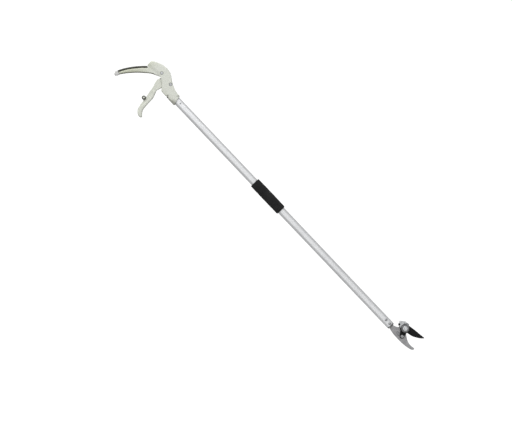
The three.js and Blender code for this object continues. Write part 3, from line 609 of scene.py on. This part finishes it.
def loft(name, rings, closed=True):
    """Skins rings of 3-D points. A closed loft joins its last ring to its first, as a tube with a wall."""
    bm = bmesh.new()
    made = [[bm.verts.new(point) for point in ring] for ring in rings]
    pairs = list(zip(made, made[1:] + made[:1])) if closed else list(zip(made, made[1:]))
    for low, high in pairs:
        for i in range(len(low)):
            j = (i + 1) % len(low)
            bm.faces.new((low[i], low[j], high[j], high[i]))
    if not closed:
        bm.faces.new(made[0])
        bm.faces.new(made[-1])
    return from_bmesh(name, bm)


# ---- Handle ---------------------------------------------------------------------------------------


def centre_of(node):
    low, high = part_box(node)
    return ((low.x + high.x) / 2, (low.z + high.z) / 2)


def socket_screw(node, name, key):
    """A flat-topped cap screw with a hexagonal key recess. Its head looks outwards."""
    low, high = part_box(node)
    centre = centre_of(node)
    far = low.y > 0
    face, tip = (high.y, low.y) if far else (low.y, high.y)
    inside = -1 if far else 1
    head = 2.5 * MM * inside
    shank = 1.9 * MM
    radius = (high.x - low.x) / 2
    rim = 0.5 * MM
    profile = [
        (0, face),
        (radius - rim, face),
        (radius, face + rim * inside),
        (radius, face + head),
        (shank, face + head),
        (shank, tip),
        (0, tip),
    ]
    screw = lathe(name, centre, profile)
    key_end = face + 1.8 * MM * inside
    recess = prism(name + "_key", centre, key, face - inside * MM, key_end, 12)
    return finished(combined(screw, recess, "DIFFERENCE"), node)


def smoothstep(value, low, high):
    t = min(1.0, max(0.0, (value - low) / (high - low)))
    return t * t * (3 - 2 * t)


def blend_cheeks_into_horn(point):
    """Thins the cheeks towards the horn, so that the casting has no step where the two meet."""
    height = point.z - SOCKET_MOUTH
    edge = 13.5 * MM + (9.2 - 13.5) * MM * min(1.0, max(0.0, (height - 86 * MM) / (55 * MM)))
    inside = smoothstep(point.x, edge - 2 * MM, edge + 11 * MM)
    thinned = (1 - inside) * smoothstep(height, 82 * MM, 92 * MM)
    extra = abs(point.y) - HORN_HALF
    if extra <= 0 or point.x < edge - 3 * MM:
        return point
    return Vector((point.x, math.copysign(HORN_HALF + extra * (1 - thinned), point.y), point.z))


def build_handle():
    cast_piece(
        "handle_body", "handle_casting", 0.8 * MM, 12, look=CREAM_OLIVE_TIP_PAINTED_SHADE, reshape=blend_cheeks_into_horn
    )
    cast_piece("trigger", "trigger_casting", 0.65 * MM, 22)
    cast_piece("horn_top_pad", "horn_rubber", 0.6 * MM, 14)
    cast_piece("horn_end_cap", "horn_cap", 0.5 * MM, 5)
    cast_piece("clamp_screw", "socket_clamp_screw", 0.3 * MM, 2)
    socket_screw("trigger_pivot_screw", "pivot_cap_screw", SCREW_KEY)
    socket_screw("cheek_screw_near", "cheek_cap_screw_near", SCREW_KEY)
    socket_screw("cheek_screw_far", "cheek_cap_screw_far", SCREW_KEY)
    low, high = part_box("trigger_pivot_nut")
    centre = centre_of("trigger_pivot_nut")
    nut = chamfered_hexagon("pivot_lock_nut", centre, high.z - low.z, low.y, high.y, 0)
    bore = bore_tool(centre, 2.6 * MM, low.y, high.y)
    finished(combined(nut, bore, "DIFFERENCE"), "trigger_pivot_nut")
    for node in ("bumper_near", "bumper_far"):
        low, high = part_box(node)
        centre, radius = centre_of(node), (high.z - low.z) / 2
        groove, bore = radius - 0.7 * MM, 3.3 * MM
        near = low.y < 0
        face, back = (low.y, high.y) if near else (high.y, low.y)
        way = 1 if near else -1
        profile = [
            (bore, back),
            (bore, face + 0.9 * way * MM),
            (bore + 0.9 * MM, face),
            (radius - 1.5 * MM, face),
            (radius - 0.4 * MM, face + 0.5 * way * MM),
            (radius, face + 1.4 * way * MM),
            (radius, face + 2.1 * way * MM),
            (groove, face + 2.5 * way * MM),
            (groove, face + 3.1 * way * MM),
            (radius, face + 3.5 * way * MM),
            (radius - 0.2 * MM, back),
            (bore, back),
        ]
        finished(lathe(node + "_ring", centre, profile, bevel=0.2 * MM), node)
    low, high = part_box("bumper_pin")
    dome = [(0, low.y)]
    for radius, depth in ((1.6, 0.15), (2.7, 0.6), (3.05, 1.3)):
        dome.append((radius * MM, low.y + depth * MM))
    profile = dome + [(radius, low.y + high.y - y) for radius, y in reversed(dome)]
    finished(lathe("bumper_axle", centre_of("bumper_pin"), profile), "bumper_pin")


# ---- Pole and grip --------------------------------------------------------------------------------


def build_pole():
    low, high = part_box("pole")
    rim = 0.35 * MM
    outer = [(low.z, rim), (low.z + rim, 0)]
    outer += [(low.z + (high.z - low.z) * k / 24, 0) for k in range(1, 24)]
    outer += [(high.z - rim, 0), (high.z, rim)]
    inner = [(z, POLE_WALL) for z, inset in reversed(outer) if inset == 0]
    rings = []
    for z, inset in outer + inner:
        section = obround(POLE_HALF[0] - inset, POLE_HALF[1] - inset, 28, 8)
        rings.append([(p.x, p.y, z) for p in section])
    finished(loft("pole_tube", rings), "pole")

    low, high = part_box("foam_grip")
    half = ((high.x - low.x) / 2, (high.y - low.y) / 2)
    upper_round, lower_round = 1.4 * MM, 4.0 * MM
    heights = []
    for k in range(7):
        angle = math.radians(90 * k / 6)
        heights.append((low.z + lower_round * (1 - math.sin(angle)), lower_round * (1 - math.cos(angle))))
    heights.reverse()
    straight = high.z - low.z - lower_round - upper_round
    heights += [(low.z + lower_round + straight * k / 44, 0.0) for k in range(1, 44)]
    for k in range(6):
        angle = math.radians(90 * k / 5)
        heights.append((high.z - upper_round * (1 - math.sin(angle)), upper_round * (1 - math.cos(angle))))
    rings = []
    for z, inset in heights:
        crown = 0.35 * MM * (1 - math.sin(math.pi * (z - low.z) / (high.z - low.z)))
        ring = []
        for p in obround(half[0] - inset - crown, half[1] - inset - crown, 26, 8):
            place = Vector((p.x, p.y, z))
            soft = noise.noise(place * 60) * 0.35 * MM + noise.noise(place * 260) * 0.1 * MM
            reach = 1 + min(0.0, soft - 0.25 * MM) / p.length
            ring.append((p.x * reach, p.y * reach, z))
        rings.append(ring)
    bore = (POLE_HALF[0] + 0.1 * MM, POLE_HALF[1] + 0.1 * MM)
    lip, flare, painted_mouth_shade = 0.2 * MM, 0.8 * MM, 1.5 * MM
    levels = [(high.z - lip, flare), (high.z - painted_mouth_shade, 0.0), (low.z + painted_mouth_shade, 0.0), (low.z + lip, flare)]
    for z, wider in levels:
        rings.append([(p.x, p.y, z) for p in obround(bore[0] + wider, bore[1] + wider, 26, 8)])
    grip = finished(loft("foam_sleeve", rings), "foam_grip", soften=False, sharp=80)

    low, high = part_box("pole_rivet")
    under_head, shank = -POLE_HALF[1] - TOUCH, 1.5 * MM
    profile = [(0, low.y)]
    for radius, depth in ((0.8, 0.06), (1.6, 0.3), (2.3, 0.8)):
        profile.append((radius * MM, low.y + depth * MM))
    profile += [(2.55 * MM, under_head), (shank, under_head), (shank, high.y), (0, high.y)]
    finished(lathe("pole_pop_rivet", centre_of("pole_rivet"), profile, bevel=0.1 * MM), "pole_rivet")


# ---- Cutting head ---------------------------------------------------------------------------------


def domed_rivet(node, name):
    low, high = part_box(node)
    half = (high.y - low.y) / 2
    face = POLE_HALF[1] + TOUCH
    radius, rise = (high.x - low.x) / 2, half - face
    dome = []
    for k in range(9):
        angle = math.radians(90 * k / 8)
        dome.append((radius * math.sin(angle), -face - rise * math.cos(angle)))
    profile = dome + [(RIVET_HOLE, -face), (RIVET_HOLE, face)] + [(r, -y) for r, y in reversed(dome)]
    finished(lathe(name, centre_of(node), profile, bevel=0), node, look=DULL_STEEL)


def build_blades():
    plate_piece("counter_blade", "hooked_counter_blade", 0.55 * MM)
    plate_piece("pull_bar", "slotted_pull_bar", 0.35 * MM, look=DULL_STEEL)
    plate_piece("link_pin_clip", "link_retaining_clip", 0.2 * MM)
    plate_piece("bearing_washer", "blade_bearing_washer", 0.2 * MM)
    plate_piece("lock_disc", "toothed_lock_disc", 0.2 * MM, pieces=3, look=DARK_STEEL)

    low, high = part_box("cutting_blade")
    loops = [smooth_loop(loop, 5) for loop in face_loops("cutting_blade", low.y)]
    outline = max(loops, key=len)
    tip = min(outline, key=lambda p: p.y)
    steps = inward(outline)
    ground_width, edge_top = 5.2 * MM, SPRING_HOLE[1]
    widths = []
    for point, step in zip(outline, steps):
        cutting = step.x > 0.2 and point.x > 0.019 and point.y < edge_top + 1.0 * MM
        from_tip = min(1.0, (point - tip).length / (26 * MM))
        from_root = min(1.0, max(0.0, (edge_top + 1.0 * MM - point.y) / (9 * MM)))
        widths.append(ground_width * from_tip * math.sqrt(from_root) if cutting else 0.0)

    def ground(share, least):
        def inset(which, i):
            if loops[which] is outline:
                return max(least, widths[i] * share)
            return least - 0.2 * MM if (loops[which][0] - Vector(SPRING_HOLE)).length < 1.5 * MM else least

        return inset

    levels = [
        (low.y, ground(1.05, 0.3 * MM + FLAT_MARGIN)),
        (low.y, ground(1.0, 0.3 * MM)),
        (low.y + 0.12 * MM, ground(0.97, 0.1 * MM)),
        (low.y + 0.3 * MM, ground(0.925, 0.0)),
        (low.y + 3.0 * MM, ground(0.16, 0.0)),
        (low.y + 3.45 * MM, ground(0.0, 0.0)),
        (high.y - 0.2 * MM, ground(0.0, 0.0)),
        (high.y, ground(0.0, 0.2 * MM)),
        (high.y, ground(0.0, 0.2 * MM + FLAT_MARGIN)),
    ]
    blade = from_bmesh("ground_cutting_blade", plate_mesh(loops, levels))
    blade.data.materials.append(LOOKS["black_steel"])
    blade.data.materials.append(GROUND_EDGE)
    bright = [point for point, width in zip(outline, widths) if width > 0.4 * MM]
    for face in blade.data.polygons:
        low_band = low.y + 2.9 * MM < face.center.y < high.y - 0.1 * MM and abs(face.normal.y) < 0.97
        if low_band and min((Vector((face.center.x, face.center.z)) - p).length for p in bright) < 0.9 * MM:
            face.material_index = 1
    finished(blade, "cutting_blade", sharp=28)


def build_pivot():
    cast_piece("spring_bracket", "folded_spring_bracket", 0.3 * MM, 2, keep=0.5)
    cast_piece("tube_end_plug", "pole_end_plug", 0.45 * MM, 3)
    for node in ("tang_rivet_lower", "tang_rivet_upper"):
        domed_rivet(node, node + "_dome")

    low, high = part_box("pivot_nut")
    nut = chamfered_hexagon("pivot_adjusting_nut", BLADE_PIVOT, HEX_ACROSS, low.y, high.y, 17)
    combined(nut, bore_tool(BLADE_PIVOT, 4.1 * MM, low.y, high.y), "DIFFERENCE")
    finished(rounded_edges(nut, 0.12 * MM), "pivot_nut")

    low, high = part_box("pivot_bolt")
    head_low = high.y - 4.5 * MM
    thread = [(0, low.y), (3.1 * MM, low.y), (3.4 * MM, low.y + 0.3 * MM)]
    y = low.y + 0.5 * MM
    while y < low.y + 7.5 * MM:
        thread += [(3.55 * MM, y), (3.98 * MM, y + 0.5 * MM)]
        y += 1.0 * MM
    thread += [(3.98 * MM, y), (3.98 * MM, head_low + 0.5 * MM), (0, head_low + 0.5 * MM)]
    bolt = lathe("pivot_through_bolt", BLADE_PIVOT, thread, bevel=0)
    head = chamfered_hexagon("head", BLADE_PIVOT, HEX_ACROSS, head_low, high.y, 8)
    finished(rounded_edges(combined(bolt, head, "UNION"), 0.1 * MM, 1, 50), "pivot_bolt")

    low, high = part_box("link_pin")
    neck = low.y + 2.4 * MM
    profile = [
        (0, low.y + 0.35 * MM),
        (1.1 * MM, low.y + 0.3 * MM),
        (1.6 * MM, low.y),
        (3.3 * MM, low.y),
        (4.1 * MM, low.y + 0.35 * MM),
        (4.7 * MM, low.y + 1.0 * MM),
        (4.9 * MM, low.y + 1.6 * MM),
        (4.85 * MM, neck),
        (2.5 * MM, neck),
        (2.5 * MM, high.y - 0.4 * MM),
        (2.1 * MM, high.y),
        (0, high.y),
    ]
    pin = lathe("link_shoulder_pin", centre_of("link_pin"), profile, bevel=0.1 * MM)
    finished(pin, "link_pin", look=DULL_STEEL)

    low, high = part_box("lock_screw")
    centre = centre_of("lock_screw")
    profile = [
        (0, low.y + 0.02 * MM),
        (1.5 * MM, low.y + 0.1 * MM),
        (2.1 * MM, low.y + 0.5 * MM),
        (2.28 * MM, low.y + 1.0 * MM),
        (2.28 * MM, low.y + 2.6 * MM),
        (1.5 * MM, low.y + 2.6 * MM),
        (1.5 * MM, high.y),
        (0, high.y),
    ]
    screw = lathe("disc_lock_screw", centre, profile, bevel=0.1 * MM)
    slot_half = 0.35 * MM
    for turn in (0.4, 0.4 + math.pi / 2):
        bm = bmesh.new()
        bmesh.ops.create_cube(bm, size=1.0)
        size = Matrix.Diagonal((2.9 * MM, 1.6 * MM, 2 * slot_half, 1))
        turned = Matrix.Translation((centre[0], low.y, centre[1])) @ Matrix.Rotation(turn, 4, "Y") @ size
        bmesh.ops.transform(bm, matrix=turned, verts=bm.verts)
        combined(screw, from_bmesh("driver_slot", bm), "DIFFERENCE")
    finished(screw, "lock_screw")

    low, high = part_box("spring_post")
    radius = (high.x - low.x) / 2
    profile = []
    for k in range(9):
        angle = math.radians(110 * k / 8)
        profile.append((radius * math.sin(angle), low.y + radius * 0.6 * (1 - math.cos(angle))))
    neck = profile[-1][1]
    profile += [(1.4 * MM, neck), (1.4 * MM, high.y), (0, high.y)]
    finished(lathe("spring_anchor_post", centre_of("spring_post"), profile, bevel=0), "spring_post")


def build_spring():
    """A torsion spring: an eye round its post, a straight leg, the coil, and a leg in the blade's hole."""
    coil_radius, wire, eye = 12 * MM, 0.75 * MM, 2.6 * MM
    post = centre_of("spring_post")
    y_post, y_blade = -16.3 * MM, -12.3 * MM
    centre = Vector(BLADE_PIVOT)

    def touch(point, side):
        away = Vector(point) - centre
        return math.atan2(away.y, away.x) + side * math.acos(coil_radius / away.length)

    def on_coil(angle):
        return centre + coil_radius * Vector((math.cos(angle), math.sin(angle)))

    first = touch(post, 1)
    last = touch(SPRING_HOLE, -1) + 3 * 2 * math.pi
    route = []
    for degrees in range(-200, 0, 20):
        angle = first + math.radians(degrees)
        y = y_post + 0.4 * MM * (1 + degrees / 200)
        route.append(Vector((post[0] + eye * math.cos(angle), y, post[1] + eye * math.sin(angle))))
    turns = 150
    for k in range(turns + 1):
        at = on_coil(first + (last - first) * k / turns)
        route.append(Vector((at.x, y_post + (y_blade - y_post) * k / turns, at.y)))
    hole, leave = Vector(SPRING_HOLE), on_coil(last)
    for share, drop in ((0.3, 0), (0.6, 0), (0.88, 0.1), (0.97, 0.5)):
        at = leave.lerp(hole, share)
        route.append(Vector((at.x, y_blade + drop * MM, at.y)))
    for y in (y_blade + 1.4 * MM, y_blade + 4 * MM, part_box("cutting_blade")[0].y + 2 * MM):
        route.append(Vector((hole.x, y, hole.y)))

    sides, rings = 12, []
    across = Vector((0, 1, 0))
    for k, point in enumerate(route):
        ahead = (route[min(k + 1, len(route) - 1)] - route[max(k - 1, 0)]).normalized()
        across = (across - ahead * across.dot(ahead)).normalized()
        other = ahead.cross(across)
        angles = [2 * math.pi * s / sides for s in range(sides)]
        rings.append([point + wire * (across * math.cos(a) + other * math.sin(a)) for a in angles])
    spring = loft("torsion_spring", rings, closed=False)
    spring.data.shade_smooth()
    spring.data.set_sharp_from_angle(angle=math.radians(60))
    spring.data.materials.append(LOOKS["black_steel"])
    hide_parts("return_spring")
    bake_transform(spring)


# ---- Carried-over CAD nodes -----------------------------------------------------------------------


def dress_cad_nodes():
    """The nodes that keep their CAD shape get a material, softened edges and smooth shading."""
    for name, piece in frame["nodes"].items():
        piece.data.materials.clear()
        piece.data.materials.append(LOOKS[slot_of[name]])
        if piece.hide_render:
            continue
        weld = piece.modifiers.new("weld", "WELD")
        weld.merge_threshold = 0.005 * MM
        rounding = piece.modifiers.new("rounding", "BEVEL")
        rounding.width = 0.15 * MM
        rounding.segments = 2
        rounding.limit_method = "ANGLE"
        rounding.angle_limit = math.radians(40)
        piece.data.shade_smooth()
        piece.modifiers.new("normals", "WEIGHTED_NORMAL")


build_handle()
build_pole()
build_blades()
build_pivot()
build_spring()
dress_cad_nodes()


# ---- Floor, light and camera ----------------------------------------------------------------------


def area_light(name, position, target, size, power, tint=(1, 1, 1)):
    data = bpy.data.lights.new(name, "AREA")
    data.shape = "RECTANGLE"
    data.size, data.size_y = size
    data.energy = power
    data.color = tint
    light = bpy.data.objects.new(name, data)
    light.location = position
    light.rotation_mode = "QUATERNION"
    light.rotation_quaternion = (Vector(target) - Vector(position)).to_track_quat("-Z", "Y")
    scene.collection.objects.link(light)


FLOOR_RADIUS = 1.1
FLOOR_DROP = 0.55  # from the object's lowest point


def build_floor():
    bm = bmesh.new()
    bmesh.ops.create_circle(bm, cap_ends=True, radius=FLOOR_RADIUS, segments=96)
    floor = from_bmesh("studio_floor", bm)
    floor.location.z = cad_box[0].z - FLOOR_DROP
    g = Graph("floor_white")
    mottle = g.noise(3, 3)
    g.surface(Base_Color=g.mix(mottle, (0.93, 0.93, 0.93, 1), (0.95, 0.95, 0.95, 1)), Roughness=0.9)
    floor.data.materials.append(g.material)


SKY_LOW, SKY_HIGH, BACKDROP = 0.27, 0.72, 1.1


def build_world():
    """A sky that brightens with height, and a white backdrop that only the camera sees."""
    world = bpy.data.worlds.new("studio")
    scene.world = world
    world.use_nodes = True
    tree = world.node_tree
    background = tree.nodes["Background"]
    background.inputs["Color"].default_value = (1, 1, 1, 1)
    direction = tree.nodes.new("ShaderNodeTexCoord").outputs["Generated"]
    height = tree.nodes.new("ShaderNodeSeparateXYZ")
    tree.links.new(direction, height.inputs["Vector"])
    sky = tree.nodes.new("ShaderNodeMapRange")
    sky.inputs["From Min"].default_value = -0.7
    sky.inputs["From Max"].default_value = 0.9
    sky.inputs["To Min"].default_value = SKY_LOW
    sky.inputs["To Max"].default_value = SKY_HIGH
    tree.links.new(height.outputs["Z"], sky.inputs["Value"])
    backdrop = tree.nodes.new("ShaderNodeMapRange")
    backdrop.inputs["To Max"].default_value = BACKDROP
    tree.links.new(tree.nodes.new("ShaderNodeLightPath").outputs["Is Camera Ray"], backdrop.inputs["Value"])
    tree.links.new(sky.outputs["Result"], backdrop.inputs["To Min"])
    tree.links.new(backdrop.outputs["Result"], background.inputs["Strength"])


PICTURE_RIGHT = Vector((0.7248, 0, -0.6889))
PICTURE_UP = Vector((0.6889, 0, 0.7248))
VIEW_WIDTH = 1.562
CAMERA_DISTANCE = 7.0
AIM = (cad_box[0] + cad_box[1]) / 2 + Vector((-0.0300, 0, 0.0095))
AIM.y = 0

build_floor()
build_world()
toward_camera = Vector((0, -1, 0))
area_light("front_softbox", AIM + toward_camera * 9, AIM, (7, 7), 113)
key_from = PICTURE_UP * 2.2 + toward_camera * 1.6 - PICTURE_RIGHT * 0.5
area_light("key_softbox", AIM + key_from, AIM, (1.8, 1.8), 46)
area_light("back_softbox", AIM - toward_camera * 3.5 + Vector((0, 0, 1.6)), AIM, (3, 3), 45)

camera_data = bpy.data.cameras.new("camera")
camera_data.sensor_width = 36
camera_data.lens = 36 * CAMERA_DISTANCE / VIEW_WIDTH
camera_data.clip_end = 100
camera = bpy.data.objects.new("camera", camera_data)
scene.collection.objects.link(camera)
axes = Matrix((PICTURE_RIGHT.normalized(), PICTURE_UP.normalized(), toward_camera)).transposed()
camera.matrix_world = Matrix.Translation(AIM + toward_camera * CAMERA_DISTANCE) @ axes.to_4x4()
scene.camera = camera
scene.view_settings.view_transform = "Standard"
